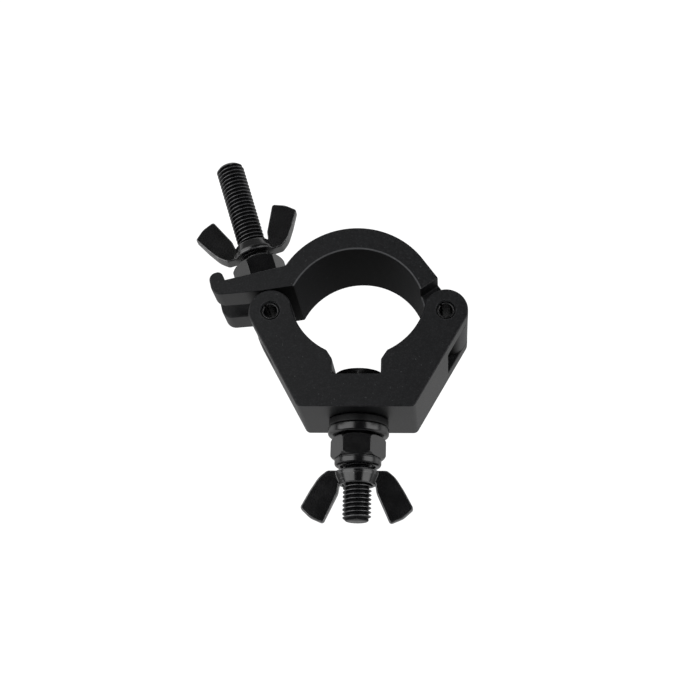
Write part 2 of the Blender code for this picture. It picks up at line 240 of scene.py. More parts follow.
def turned(profile, segments=96):
    """A closed profile of (radius, height) pairs turned about Z."""
    bm = bmesh.new()
    rings = []
    for radius, height in profile:
        if radius < 1e-7:
            rings.append([bm.verts.new((0, 0, height))])
            continue
        ring = []
        for i in range(segments):
            a = 2 * math.pi * i / segments
            ring.append(bm.verts.new((radius * math.cos(a), radius * math.sin(a), height)))
        rings.append(ring)
    for index, ring in enumerate(rings):
        other = rings[(index + 1) % len(rings)]
        if len(ring) == 1 and len(other) == 1:
            continue
        for i in range(segments):
            j = (i + 1) % segments
            corners = [ring[i % len(ring)], ring[j % len(ring)],
                       other[j % len(other)], other[i % len(other)]]
            bm.faces.new(list(dict.fromkeys(corners)))
    return bm


def turned_y(x, z, profile, segments=48):
    """A profile of (radius, distance along Y) pairs turned about an axis along Y."""
    bm = turned(profile, segments)
    onto_y = Matrix.Rotation(-math.pi / 2, 3, "X")
    bmesh.ops.rotate(bm, verts=bm.verts, cent=(0, 0, 0), matrix=onto_y)
    bmesh.ops.translate(bm, verts=bm.verts, vec=(x, 0, z))
    return bm


def rod(radius, low, high):
    return [(0, low), (radius, low), (radius, high), (0, high)]


def baked(obj):
    """Turn an object's modifiers into its own mesh."""
    graph = bpy.context.evaluated_depsgraph_get()
    mesh = bpy.data.meshes.new_from_object(obj.evaluated_get(graph))
    obj.modifiers.clear()
    obj.data = mesh
    return obj


def combine(obj, bm, operation="DIFFERENCE"):
    """Cut, join or intersect the object with a helper solid."""
    helper = mesh_object(obj.name + "_helper", bm)
    modifier = obj.modifiers.new(operation, "BOOLEAN")
    modifier.operation = operation
    modifier.solver = "EXACT"
    modifier.object = helper
    baked(obj)
    bpy.data.objects.remove(helper)
    return obj


def ease_edges(obj, width, segments=3, angle=28):
    """Round the object's own sharp edges."""
    bevel = obj.modifiers.new("edge", "BEVEL")
    bevel.width = width
    bevel.segments = segments
    bevel.limit_method = "ANGLE"
    bevel.angle_limit = math.radians(angle)
    bevel.miter_outer = "MITER_ARC"
    bevel.use_clamp_overlap = False
    bevel.harden_normals = False
    baked(obj)
    return obj


def finish_shading(obj, sharp=40):
    """Smooth shading with the flat faces' normals weighted."""
    obj.data.shade_smooth()
    obj.data.set_sharp_from_angle(angle=math.radians(sharp))
    weighted = obj.modifiers.new("normals", "WEIGHTED_NORMAL")
    weighted.keep_sharp = True
    weighted.weight = 60
    return baked(obj)


def place(obj, matrix):
    obj.data.transform(matrix)
    obj.data.update()
    return obj


def stand_for(obj, node, body, mat):
    """Give the piece its finish and let it replace its CAD node."""
    obj.data.materials.clear()
    obj.data.materials.append(mat)
    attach(obj, body)
    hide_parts(node)
    return obj


# ---------------------------------------------------------------- finishes
COAT_DARK, COAT_PALE = (0.0046, 0.0050, 0.0061), (0.0076, 0.0081, 0.0097)
COAT_GRAIN, COAT_SPECK = (0.030, 0.031, 0.034), (0.11, 0.112, 0.118)
# Next: the edge colour (wear with a painted highlight), a painted shade for the jaw's underside and a
# painted highlight line around the jaw's bore.
COAT_EDGE_WEAR_AND_HIGHLIGHT, COAT_SHADE, BORE_RIM_HIGHLIGHT = (0.085, 0.088, 0.092), (0.002, 0.002, 0.002), (0.105, 0.107, 0.112)
OXIDE_DARK, OXIDE_PALE = (0.0045, 0.0045, 0.0050), (0.0080, 0.0080, 0.0090)
# Paler colours for edges and thread crests: wear with a painted highlight.
OXIDE_EDGE_WEAR_AND_HIGHLIGHT, OXIDE_CREST_WEAR_AND_HIGHLIGHT = (0.17, 0.17, 0.175), (0.130, 0.130, 0.136)
OXIDE_ROOT_LEVEL = 0.04
NYLON_DARK, NYLON_PALE = (0.010, 0.010, 0.011), (0.022, 0.022, 0.023)
FLOOR_DARK, FLOOR_PALE = (0.80, 0.80, 0.80), (0.84, 0.84, 0.84)


class Finish:
    """A procedural material made from a short list of nodes."""

    def __init__(self, name):
        self.mat = bpy.data.materials.new(name)
        self.mat.use_nodes = True
        self.tree = self.mat.node_tree
        self.shader = self.tree.nodes["Principled BSDF"]
        coords = self.node("ShaderNodeTexCoord")
        self.coords = coords.outputs["Object"]
        self.normal = coords.outputs["Normal"]

    def node(self, kind, **values):
        made = self.tree.nodes.new(kind)
        for key, value in values.items():
            setattr(made, key, value)
        return made

    def link(self, source, target):
        self.tree.links.new(source, target)

    def noise(self, scale, detail=2.0, roughness=0.55, offset=(0, 0, 0)):
        moved = self.node("ShaderNodeMapping")
        moved.inputs["Location"].default_value = offset
        self.link(self.coords, moved.inputs["Vector"])
        made = self.node("ShaderNodeTexNoise")
        made.inputs["Scale"].default_value = scale
        made.inputs["Detail"].default_value = detail
        made.inputs["Roughness"].default_value = roughness
        self.link(moved.outputs["Vector"], made.inputs["Vector"])
        return made.outputs["Fac"]

    def remap(self, value, low, high, to_low, to_high):
        made = self.node("ShaderNodeMapRange")
        made.inputs["From Min"].default_value = low
        made.inputs["From Max"].default_value = high
        made.inputs["To Min"].default_value = to_low
        made.inputs["To Max"].default_value = to_high
        self.link(value, made.inputs["Value"])
        return made.outputs["Result"]

    def math(self, operation, a, b):
        made = self.node("ShaderNodeMath", operation=operation)
        for index, value in enumerate((a, b)):
            if isinstance(value, (int, float)):
                made.inputs[index].default_value = value
            else:
                self.link(value, made.inputs[index])
        return made.outputs[0]

    def mix(self, amount, a, b):
        made = self.node("ShaderNodeMix", data_type="RGBA")
        for name, value in (("Factor", amount), ("A", a), ("B", b)):
            socket = next(s for s in made.inputs if s.name == name and s.enabled)
            if isinstance(value, bpy.types.NodeSocket):
                self.link(value, socket)
            elif isinstance(value, (int, float)):
                socket.default_value = value
            else:
                socket.default_value = (*value, 1.0)
        return next(s for s in made.outputs if s.enabled)

    def edges(self, radius):
        """From 0 to 1, how near the point is to an edge."""
        bevel = self.node("ShaderNodeBevel", samples=6)
        bevel.inputs["Radius"].default_value = radius
        shape = self.node("ShaderNodeNewGeometry")
        dot = self.node("ShaderNodeVectorMath", operation="DOT_PRODUCT")
        self.link(bevel.outputs["Normal"], dot.inputs[0])
        self.link(shape.outputs["Normal"], dot.inputs[1])
        return self.remap(dot.outputs["Value"], 0.995, 0.86, 0.0, 1.0)

    def convex(self, low, high):
        """From 0 to 1, how strongly the surface bulges at the point."""
        shape = self.node("ShaderNodeNewGeometry")
        return self.remap(shape.outputs["Pointiness"], low, high, 0.0, 1.0)

    def bump(self, height, strength, distance, normal=None):
        made = self.node("ShaderNodeBump")
        made.inputs["Strength"].default_value = strength
        made.inputs["Distance"].default_value = distance
        self.link(height, made.inputs["Height"])
        if normal is not None:
            self.link(normal, made.inputs["Normal"])
        return made.outputs["Normal"]

    def set(self, **inputs):
        for name, value in inputs.items():
            socket = self.shader.inputs[name.replace("_", " ")]
            if isinstance(value, bpy.types.NodeSocket):
                self.link(value, socket)
            else:
                socket.default_value = value
        return self.mat


def coat_finish(name, bore_centre, jaw):
    """Black powder coat with a fine satin grain, pale specks and edges lightened for wear and as a painted
    highlight; the bore is dull.

    jaw is 1.0 for the jaw, which also gets painted shade on its underside near the bore and a painted
    highlight line around its bore, else 0.0.
    """
    f = Finish(name)
    broad = f.noise(70.0, 3.0)
    grain = f.noise(2600.0, 3.0, 0.6)
    speck = f.remap(f.noise(1300.0, 1.0, 0.5, (0.3, 0.1, 0.2)), 0.72, 0.79, 0.0, 1.0)
    # Edge lightening: partly wear, partly a painted highlight along the edges.
    wear_and_highlight = f.math("MULTIPLY", f.edges(0.0006), f.remap(f.noise(420.0, 4.0), 0.42, 0.62, 0.25, 1.0))
    parts = f.node("ShaderNodeSeparateXYZ")
    f.link(f.coords, parts.inputs[0])
    across = f.math("SUBTRACT", parts.outputs["X"], bore_centre[0])
    above = f.math("SUBTRACT", parts.outputs["Z"], bore_centre[1])
    squares = f.math("ADD", f.math("MULTIPLY", across, across), f.math("MULTIPLY", above, above))
    span = f.math("SQRT", squares, 0)
    bore = f.remap(span, JAW_BORE_R + 0.00005, JAW_BORE_R + 0.00035, 1.0, 0.0)
    facing = f.node("ShaderNodeSeparateXYZ")
    f.link(f.normal, facing.inputs[0])
    # Painted shade: the jaw's downward-facing surfaces near the bore are darkened and made duller.
    under = f.remap(facing.outputs["Z"], -0.75, -0.95, 0.0, jaw)
    below = f.math("MULTIPLY", under, f.remap(span, 0.034, 0.040, 1.0, 0.0))
    dull = f.math("MAXIMUM", bore, below)
    endways = f.remap(f.math("ABSOLUTE", facing.outputs["Y"], 0), 0.15, 0.40, 0.0, 1.0)
    # Painted highlight: a pale line on the jaw's front and back faces just around the bore.
    rim = f.math("MULTIPLY", f.remap(span, JAW_BORE_R + 0.00060, JAW_BORE_R + 0.00045, 0.0, jaw), endways)
    base = f.mix(broad, COAT_DARK, COAT_PALE)
    base = f.mix(f.math("MULTIPLY", f.remap(grain, 0.48, 0.72, 0.0, 1.0), 0.7), base, COAT_GRAIN)
    base = f.mix(f.math("MULTIPLY", speck, 0.55), base, COAT_SPECK)
    # Paler colour on the edges: wear with a painted highlight.
    base = f.mix(f.math("MULTIPLY", wear_and_highlight, 0.55), base, COAT_EDGE_WEAR_AND_HIGHLIGHT)
    # Painted shade on the jaw's underside near the bore.
    base = f.mix(f.math("MULTIPLY", below, 0.8), base, COAT_SHADE)
    # Painted highlight line around the jaw's bore.
    base = f.mix(f.math("MULTIPLY", rim, 0.9), base, BORE_RIM_HIGHLIGHT)
    rough = f.math("SUBTRACT", f.remap(grain, 0.3, 0.7, 0.36, 0.50), f.math("MULTIPLY", wear_and_highlight, 0.12))
    # The dulling covers the bore, and the jaw's underside as painted shade.
    rough = f.math("ADD", rough, f.math("MULTIPLY", dull, 0.25))
    level = f.math("SUBTRACT", 0.45, f.math("MULTIPLY", dull, 0.38))
    normal = f.bump(grain, 0.36, 0.00006)
    return f.set(Base_Color=base, Roughness=rough, Normal=normal, Specular_IOR_Level=level)


def oxide_finish(name, rough, level, edge=0.0004, thread=None, radius=THREAD_R):
    """Blackened steel: uneven oxide, an oily sheen, edges lightened for wear and as a painted highlight and,
    on a bolt, thread crests lightened the same way and dull roots.

    An edge of 0.0 lightens the bulging parts of a blended casting instead, as a painted highlight; thread is
    a bolt's placing.
    """
    f = Finish(name)
    cloud = f.noise(200.0, 3.0, 0.5)
    grain = f.noise(1700.0, 3.0, 0.6)
    # Edge lightening: wear on the steel's edges with a painted highlight; on a casting, a painted highlight
    # on its bulges.
    edge_wear_and_highlight = f.edges(edge) if edge else f.convex(0.504, 0.522)
    wear_and_highlight = f.math("MULTIPLY", edge_wear_and_highlight, f.remap(f.noise(600.0, 4.0), 0.40, 0.62, 0.35, 1.0))
    base = f.mix(cloud, OXIDE_DARK, OXIDE_PALE)
    # Paler colour on edges: wear with a painted highlight.
    base = f.mix(f.math("MULTIPLY", wear_and_highlight, 0.8), base, OXIDE_EDGE_WEAR_AND_HIGHLIGHT)
    if thread is not None:
        reach = from_axis(f, thread)
        # Thread crests lightened: partly wear, partly a painted highlight along each crest.
        crest = f.math("MULTIPLY", f.remap(reach, radius - 0.00016, radius - 0.00004, 0.0, 1.0),
                       f.remap(reach, radius + 0.0001, radius + 0.0003, 1.0, 0.0))
        base = f.mix(f.math("MULTIPLY", crest, 0.9), base, OXIDE_CREST_WEAR_AND_HIGHLIGHT)
        root = f.remap(reach, radius - 0.00065, radius - 0.00020, 1.0, 0.0)
        along = f.node("ShaderNodeVectorMath", operation="DOT_PRODUCT")
        f.link(f.normal, along.inputs[0])
        along.inputs[1].default_value = thread.to_3x3() @ Vector((0, 0, 1))
        flat = f.remap(f.math("ABSOLUTE", along.outputs["Value"], 0), 0.93, 0.98, 1.0, 0.0)
        level = f.remap(f.math("MULTIPLY", root, flat), 0.0, 1.0, level, OXIDE_ROOT_LEVEL)
    wavy = f.remap(cloud, 0.3, 0.7, rough - 0.04, rough + 0.04)
    uneven = f.math("ADD", wavy, f.remap(grain, 0.3, 0.7, -0.02, 0.03))
    normal = f.bump(grain, 0.05, 0.00003)
    return f.set(Base_Color=base, Roughness=uneven, Normal=normal, Metallic=0.15, Specular_IOR_Level=level)


def from_axis(f, thread):
    """Distance of the point from a shank's axis."""
    local = thread.inverted()
    moved = f.node("ShaderNodeMapping")
    moved.inputs["Location"].default_value = local.to_translation()
    moved.inputs["Rotation"].default_value = local.to_euler()
    f.link(f.coords, moved.inputs["Vector"])
    parts = f.node("ShaderNodeSeparateXYZ")
    f.link(moved.outputs["Vector"], parts.inputs[0])
    squares = [f.math("MULTIPLY", parts.outputs[axis], parts.outputs[axis]) for axis in "XY"]
    return f.math("SQRT", f.math("ADD", squares[0], squares[1]), 0)


def nylon_finish():
    f = Finish("black_nylon")
    grain = f.noise(1200.0, 3.0)
    base = f.mix(grain, NYLON_DARK, NYLON_PALE)
    rough = f.remap(grain, 0.3, 0.7, 0.42, 0.6)
    return f.set(Base_Color=base, Roughness=rough, Normal=f.bump(grain, 0.2, 0.00004))


# ---------------------------------------------------------------- clamp body
def body_outline():
    """Front outline of the clamp body, anticlockwise from the right end of the notch floor."""
    ear = (PIN_X, PIN_Z)
    touch = polar_angle(ear)
    notch_top = polar_angle((NOTCH_HALF, -math.sqrt(BORE_R ** 2 - NOTCH_HALF ** 2)))
    notch_side = [(NOTCH_HALF, NOTCH_FLOOR_Z), (NOTCH_HALF, NOTCH_FLOOR_Z + NOTCH_WALL)]
    seat = arc((0, 0), BORE_R, notch_top + 5.5, touch - 1.5, 18)
    crown = arc(ear, EAR_R, touch + 174, 0, 22)
    side = rounded(
        [crown[-1], (PIN_X + EAR_R, SIDE_BREAK_Z), (BODY_FOOT_X, BODY_BOTTOM_Z), (0, BODY_BOTTOM_Z)],
        SIDE_RADII, 4)
    right = notch_side + seat + crown[:-1] + side[:-1]
    return right + mirrored(right)


def slot_outline():
    """Region cut for a slot in the right ear: above and outside the slot's sloping floor."""
    run = (Vector(SLOT_OUTER) - Vector(SLOT_INNER)) * 0.6
    low = Vector(SLOT_OUTER) + run
    high = Vector(SLOT_INNER) - run
    far = PIN_X * 2
    return [tuple(low), (far, low.y), (far, BORE_R), (high.x, BORE_R), tuple(high)]


def make_body(mat):
    body = mesh_object("body_casting", extrude_y(body_outline(), -HALF_W, HALF_W))
    combine(body, extrude_y(slot_outline(), -JAW_SLOT / 2, JAW_SLOT / 2))
    combine(body, extrude_y(mirrored(slot_outline()), -BOLT_SLOT / 2, BOLT_SLOT / 2))
    ease_edges(body, COAT_EDGE)
    mouth = HALF_W - PIN_RECESS
    hole = [(0, -PAST), (PIN_MOUTH_R, -PAST), (PIN_MOUTH_R, -mouth), (PIN_HOLE_R, -mouth),
            (PIN_HOLE_R, mouth), (PIN_MOUTH_R, mouth), (PIN_MOUTH_R, PAST), (0, PAST)]
    for side in (-1, 1):
        combine(body, turned_y(side * PIN_X, PIN_Z, hole, 64))
    combine(body, turned(rod(CLEAR_R, *BOLT_HOLE), 64))
    finish_shading(body)
    return stand_for(body, "clamp_body", "base", mat)


# ---------------------------------------------------------------- upper jaw
def jaw_outline():
    """Front outline of the jaw as it sits on a tube, anticlockwise from the heel's corner."""
    arm = rounded(ARM_POINTS, ARM_RADII, 6)
    lift = math.sqrt(JAW_OUTER_R ** 2 - (ARM_TOP_Z - JAW_OUTER_C[1]) ** 2)
    start = polar_angle((JAW_OUTER_C[0] - lift, ARM_TOP_Z), JAW_OUTER_C)
    crown = arc(JAW_OUTER_C, JAW_OUTER_R, CROWN_START, start, 34)
    knuckle = arc((PIN_X, PIN_Z), EAR_R, 167, 433, 30)
    mouth = arc((0, 0), JAW_BORE_R, polar_angle(ARM_CORNER), -8, 40)
    return [JAW_HEEL] + crown + arm[1:-1] + mouth + knuckle[:-1]


def fork_cutter(pin):
    """The open slot between the tines, with a round inner end."""
    bm = bmesh.new()
    end_x = FORK_END_X - pin[0]
    half = FORK_SLOT / 2
    outline = [(FORK_OUTER_X, -half), (end_x, -half)]
    outline += [(end_x + half * math.sin(math.radians(a)), -half * math.cos(math.radians(a)))
                for a in range(10, 180, 10)]
    outline += [(end_x, half), (FORK_OUTER_X, half)]
    face = bm.faces.new([bm.verts.new((x, y, FORK_CUT_LOW)) for x, y in outline])
    result = bmesh.ops.extrude_face_region(bm, geom=[face])
    moved = [item for item in result["geom"] if isinstance(item, bmesh.types.BMVert)]
    bmesh.ops.translate(bm, verts=moved, vec=(0, 0, FORK_CUT_HEIGHT))
    return bm


def make_jaw(mat, hinge):
    pin = (PIN_X, PIN_Z)
    jaw = mesh_object("jaw_casting", extrude_y(shifted(jaw_outline(), pin), -HALF_W, HALF_W))
    step = shifted(JAW_STEP, pin)
    for end in (-1, 1):
        near, far = sorted((end * KNUCKLE_W / 2, end * PAST))
        combine(jaw, extrude_y(step, near, far))
    combine(jaw, fork_cutter(pin))
    ease_edges(jaw, COAT_EDGE)
    combine(jaw, turned_y(0, 0, rod(PIN_HOLE_R, -PAST, PAST), 64))
    finish_shading(jaw)
    place(jaw, hinge)
    return stand_for(jaw, "upper_jaw", "jaw", mat)


# ---------------------------------------------------------------- hardware
def threaded_rod(crest, low, high, tip_low, tip_high, steps=48):
    """A right-hand thread between two heights, narrowed at each end to the tip's radius."""
    root = crest - THREAD_DEPTH
    below, above = crest - THREAD_SOFT, root + THREAD_SOFT
    # Shares of one turn and the radius there: crest, flank, root; the turn above closes the profile.
    profile = [(0.00, below), (0.03, crest), (0.14, crest), (0.17, below),
               (0.43, above), (0.49, root), (0.68, root), (0.74, above)]
    turns = math.ceil((high - low) / PITCH) + 4
    start = low - 2 * PITCH
    bm = bmesh.new()
    rows = []
    for i in range(turns * steps + 1):
        a = 2 * math.pi * i / steps
        row = []
        for share, radius in profile:
            z = start + PITCH * (i / steps + share)
            r = min(radius, tip_low + (z - low) * TIP_SLOPE, tip_high + (high - z) * TIP_SLOPE)
            r = max(r, tip_low if z < (low + high) / 2 else tip_high)
            z = min(max(z, low), high)
            row.append(bm.verts.new((r * math.cos(a), r * math.sin(a), z)))
        rows.append(row)
    last = len(profile) - 1
    for i in range(turns * steps):
        for j in range(last):
            bm.faces.new((rows[i][j], rows[i + 1][j], rows[i + 1][j + 1], rows[i][j + 1]))
        if i + 1 + steps <= turns * steps:
            bm.faces.new((rows[i][last], rows[i + 1][last], rows[i + 1 + steps][0], rows[i + steps][0]))
    bmesh.ops.remove_doubles(bm, verts=bm.verts, dist=2e-6)
    loose = [v for v in bm.verts if not v.link_faces]
    bmesh.ops.delete(bm, geom=loose, context="VERTS")
    rim = [edge for edge in bm.edges if edge.is_boundary]
    bmesh.ops.holes_fill(bm, edges=rim, sides=0)
    return bm


def joined(name, *parts):
    """One object from several solids."""
    whole = bmesh.new()
    for part in parts:
        if isinstance(part, bpy.types.Object):
            mesh = part.data
            bpy.data.objects.remove(part)
        else:
            bmesh.ops.remove_doubles(part, verts=part.verts, dist=SAME_POINT)
            bmesh.ops.recalc_face_normals(part, faces=part.faces)
            mesh = bpy.data.meshes.new("part")
            part.to_mesh(mesh)
            part.free()
        whole.from_mesh(mesh)
        bpy.data.meshes.remove(mesh)
    mesh = bpy.data.meshes.new(name)
    whole.to_mesh(mesh)
    whole.free()
    mesh.shade_smooth()
    mesh.set_sharp_from_angle(angle=math.radians(40))
    obj = bpy.data.objects.new(name, mesh)
    bpy.context.scene.collection.objects.link(obj)
    return obj


def hexagon(flat, height, base, turn=0.0):
    """A hexagon prism with slightly rounded corners, one corner on +X before its turn."""
    corner = flat / math.sqrt(3)
    points = [(corner * math.cos(math.radians(60 * i)), corner * math.sin(math.radians(60 * i)))
              for i in range(6)]
    outline = rounded(points, [HEX_CORNER_R] * 6, 4)
    bm = bmesh.new()
    face = bm.faces.new([bm.verts.new((x, y, base)) for x, y in outline])
    result = bmesh.ops.extrude_face_region(bm, geom=[face])
    moved = [item for item in result["geom"] if isinstance(item, bmesh.types.BMVert)]
    bmesh.ops.translate(bm, verts=moved, vec=(0, 0, height))
    bmesh.ops.rotate(bm, verts=bm.verts, cent=(0, 0, 0), matrix=Matrix.Rotation(turn, 3, "Z"))
    return bm


def chamfer(flat, base, way):
    """Convex chamfer of a hexagon's corners, as (radius, height) from the face outwards."""
    corner = flat / math.sqrt(3) + 0.0001
    rim = flat / 2 * CHAMFER_RIM
    return [(rim + (corner - rim) * share, base + way * drop) for share, drop in CHAMFER_CURVE]


def hex_nut(name, matrix):
    """A plain hexagon nut, chamfered on both sides."""
    bore, mouth = SWING_CLEAR_R, SWING_CLEAR_R + NUT_EASE
    section = [(mouth, 0)] + chamfer(NUT_FLAT, 0, 1) + chamfer(NUT_FLAT, SWING_NUT_H, -1)[::-1]
    section += [(mouth, SWING_NUT_H), (bore, SWING_NUT_H - NUT_EASE), (bore, NUT_EASE)]
    nut = mesh_object(name, turned(section))
    combine(nut, hexagon(NUT_FLAT, SWING_NUT_H + 2 * HEX_SPARE, -HEX_SPARE), "INTERSECT")
    ease_edges(nut, NUT_EDGE, 2, 24)
    finish_shading(nut, 45)
    return place(nut, matrix)


def lock_nut(name, matrix):
    """Hexagon with a round collar above it, local Z along the thread."""
    shelf = NUT_HEIGHT - NUT_LIP
    seat = shelf - INSERT_H - 2 * GAP
    throat = INSERT_R - 0.6 * MM
    wide = INSERT_R + GAP
    section = [(CLEAR_R + NUT_EASE, 0)] + chamfer(NUT_FLAT, 0, 1)
    section += chamfer(NUT_FLAT, NUT_HEX + 0.0002, -1)[::-1]
    section += [(NUT_COLLAR_R - 0.15 * MM, NUT_HEX + 0.1 * MM),
                (NUT_COLLAR_R - 0.12 * MM, NUT_HEX + 0.35 * MM)]
    section += rounded([(throat, NUT_HEX), (NUT_COLLAR_R, NUT_HEX + 0.5 * MM), (NUT_COLLAR_R, NUT_HEIGHT),
                        (throat, NUT_HEIGHT)], [0, 0.0002, 0.0011, 0.0002], 6)[1:]
    section += [(throat, shelf), (wide, shelf), (wide, seat), (CLEAR_R, seat), (CLEAR_R, NUT_EASE)]
    nut = mesh_object(name, turned(section))
    combine(nut, hexagon(NUT_FLAT, NUT_HEIGHT + 2 * HEX_SPARE, -HEX_SPARE), "INTERSECT")
    ease_edges(nut, COLLAR_EDGE, 2, 24)
    finish_shading(nut, 45)
    return place(nut, matrix)


def insert_ring(name, matrix):
    """The nylon ring inside the lock nut's collar."""
    base = NUT_HEIGHT - NUT_LIP - INSERT_H - GAP
    top = base + INSERT_H
    section = rounded([(CLEAR_R, base), (INSERT_R, base), (INSERT_R, top), (CLEAR_R, top)],
                      [0, 0.0002, 0.0002, 0.0005], 4)
    ring = mesh_object(name, turned(section))
    return place(ring, matrix)


def wing_plate(outline):
    """The wing as a solid that gets thinner towards its tip, with rounded edges."""
    bm = extrude_y(outline, -0.5, 0.5)
    for vert in bm.verts:
        vert.co.y *= WING_ROOT_T + (WING_TIP_T - WING_ROOT_T) * vert.co.z / WING_H
    plate = mesh_object("wing", bm)
    ease_edges(plate, WING_EDGE, 3, 40)
    eased = bmesh.new()
    eased.from_mesh(plate.data)
    bpy.data.objects.remove(plate)
    return eased


def wing_nut(name, node, bore, matrix):
    """Cone-shaped hub with two wings, blended like a casting; local Z along the thread."""
    hub = rounded([(bore, 0), (WING_HUB_R, 0), (WING_HUB_R, WING_HUB_BAND), (WING_HUB_TOP_R, WING_HUB_H),
                   (bore, WING_HUB_H)], [0, 0.0005, 0.0004, 0.0005, 0], 5)
    nut = mesh_object(name, turned(hub))
    wing = rounded(WING_POINTS, WING_RADII, 7)
    for outline in (wing, mirrored(wing)):
        combine(nut, wing_plate(outline), "UNION")
    cast = nut.modifiers.new("cast", "REMESH")
    cast.mode = "VOXEL"
    cast.voxel_size = VOXEL
    smooth = nut.modifiers.new("soften", "SMOOTH")
    smooth.factor = 0.5
    smooth.iterations = 6
    baked(nut)
    nut.data.shade_smooth()
    place(nut, matrix)
    return fitted(nut, node)


def fitted(obj, node):
    """Scale the mesh so that its box is the CAD node's box."""
    low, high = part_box(node)
    size = [[f([v.co[i] for v in obj.data.vertices]) for i in range(3)] for f in (min, max)]
    for v in obj.data.vertices:
        for i in range(3):
            share = (v.co[i] - size[0][i]) / (size[1][i] - size[0][i])
            v.co[i] = low[i] + share * (high[i] - low[i])
    obj.data.update()
    return obj


def make_main_bolt(mat):
    head_top = bolt_high.z
    under = NOTCH_FLOOR_Z + GAP
    top = chamfer(HEAD_FLAT, head_top, -1)[::-1]
    head = mesh_object("head", turned([(0, under), (top[0][0], under)] + top + [(0, head_top)]))
    combine(head, hexagon(HEAD_FLAT, HEAD_PRISM, under - HEAD_SPARE, math.radians(30)), "INTERSECT")
    ease_edges(head, NUT_EDGE, 2, 24)
    finish_shading(head, 45)
    root = THREAD_R - THREAD_DEPTH
    thread = threaded_rod(THREAD_R, bolt_low.z, under + 0.5 * MM, root - TIP_STEP, root)
    bolt = joined("hanging_bolt", head, thread)
    return stand_for(bolt, "main_bolt", "base", mat)


def make_swing_bolt(mat, swing):
    half = EYE_W / 2
    eye_section = rounded([(PIN_HOLE_R, -half), (EYE_R, -half), (EYE_R, half), (PIN_HOLE_R, half)],
                          [0.0003, 0.0009, 0.0009, 0.0003], 4)
    eye = mesh_object("eye", turned_y(0, 0, eye_section, 72))
    radius = SWING_THREAD_R
    root = radius - THREAD_DEPTH
    end = EYE_NECK + 0.0006
    shank = [(0, EYE_ROOT), (radius, EYE_ROOT), (radius, EYE_NECK), (root, end), (0, end)]
    combine(eye, turned(shank), "UNION")
    combine(eye, turned_y(0, 0, rod(PIN_HOLE_R, -EYE_CUT, EYE_CUT), 72))
    ease_edges(eye, EYE_EDGE, 3, 34)
    finish_shading(eye)
    thread = threaded_rod(radius, EYE_NECK - 0.0002, SWING_TIP, root, root - TIP_STEP)
    bolt = place(joined("eye_bolt", eye, thread), swing)
    return stand_for(bolt, "swing_bolt", "swing_bolt", mat)


def make_pin(name, node, side, mat):
    """A slotted spring pin, split along its length, with eased ends."""
    half = HALF_W - PIN_RECESS
    outer = arc((0, 0), PIN_R, PIN_SLIT_AT + PIN_SLIT_HALF, PIN_SLIT_AT + 360 - PIN_SLIT_HALF, 40)
    inner = arc((0, 0), PIN_BORE_R, PIN_SLIT_AT + 360 - PIN_SLIT_HALF_INSIDE,
                PIN_SLIT_AT + PIN_SLIT_HALF_INSIDE, 40)
    pin = mesh_object(name, extrude_y(outer + inner, -half, half))
    ease_edges(pin, PIN_EDGE, 3, 50)
    finish_shading(pin)
    place(pin, Matrix.Translation((side * PIN_X, 0, PIN_Z)))
    return stand_for(pin, node, "base", mat)


def make_washer(name, node, upper_edge, lower_edge, mat):
    low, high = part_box(node)
    outer = high.x
    section = rounded([(CLEAR_R, low.z), (outer, low.z), (outer, high.z), (CLEAR_R, high.z)],
                      [0.0002, lower_edge, upper_edge, 0.0002], 8)
    return stand_for(mesh_object(name, turned(section, 128)), node, "base", mat)


# ---------------------------------------------------------------- stage
FRONT_LIGHT = 0.03
BACK_LIGHT = 0.45
SIDE_LIGHT = 0.9
SIDE_STARTS, BACK_STARTS = 0.05, 0.52
TOP_LIGHT = 0.15
BOX_LOW, BOX_HIGH = -0.62, 0.42
SOFT_BOXES = ((-78, -16, 2.1), (34, 82, 2.0))
BACKDROP = 1.1
FLOOR_SIZE, FLOOR_Z = 6.0, -0.30
CAMERA_AIM = (-3.75, 0.0, -15.74)
CAMERA_YAW, CAMERA_RISE, CAMERA_ROLL = 4.8, 18.94, 1.45
CAMERA_DISTANCE = 458.4 * MM
CAMERA_LENS, CAMERA_SENSOR = 65.65, 36.0


def make_floor():
    mesh = bpy.data.meshes.new("floor")
    bm = bmesh.new()
    bmesh.ops.create_grid(bm, x_segments=1, y_segments=1, size=FLOOR_SIZE)
    bm.to_mesh(mesh)
    bm.free()
    floor = bpy.data.objects.new("floor", mesh)
    floor.location = (0, 0, FLOOR_Z)
    bpy.context.scene.collection.objects.link(floor)
    f = Finish("pale_floor")
    grain = f.noise(30.0, 3.0)
    mesh.materials.append(f.set(Base_Color=f.mix(grain, FLOOR_DARK, FLOOR_PALE), Roughness=0.8))
    floor.visible_glossy = False
    return floor


def band(tree, value, low, high, soft):
    """From 0 to 1 and back again, as the value passes from low to high."""
    sides = []
    for edge, way in ((low, 1), (high, -1)):
        step = tree.nodes.new("ShaderNodeMapRange")
        step.interpolation_type = "SMOOTHSTEP"
        step.inputs["From Min"].default_value = edge - way * soft
        step.inputs["From Max"].default_value = edge + way * soft
        tree.links.new(value, step.inputs["Value"])
        sides.append(step.outputs["Result"])
    return times(tree, sides[0], sides[1])


def times(tree, a, b, operation="MULTIPLY"):
    """The product of two values in the world's nodes, or another operation on them."""
    node = tree.nodes.new("ShaderNodeMath")
    node.operation = operation
    for socket, value in zip(node.inputs, (a, b)):
        if isinstance(value, float):
            socket.default_value = value
        else:
            tree.links.new(value, socket)
    return node.outputs[0]


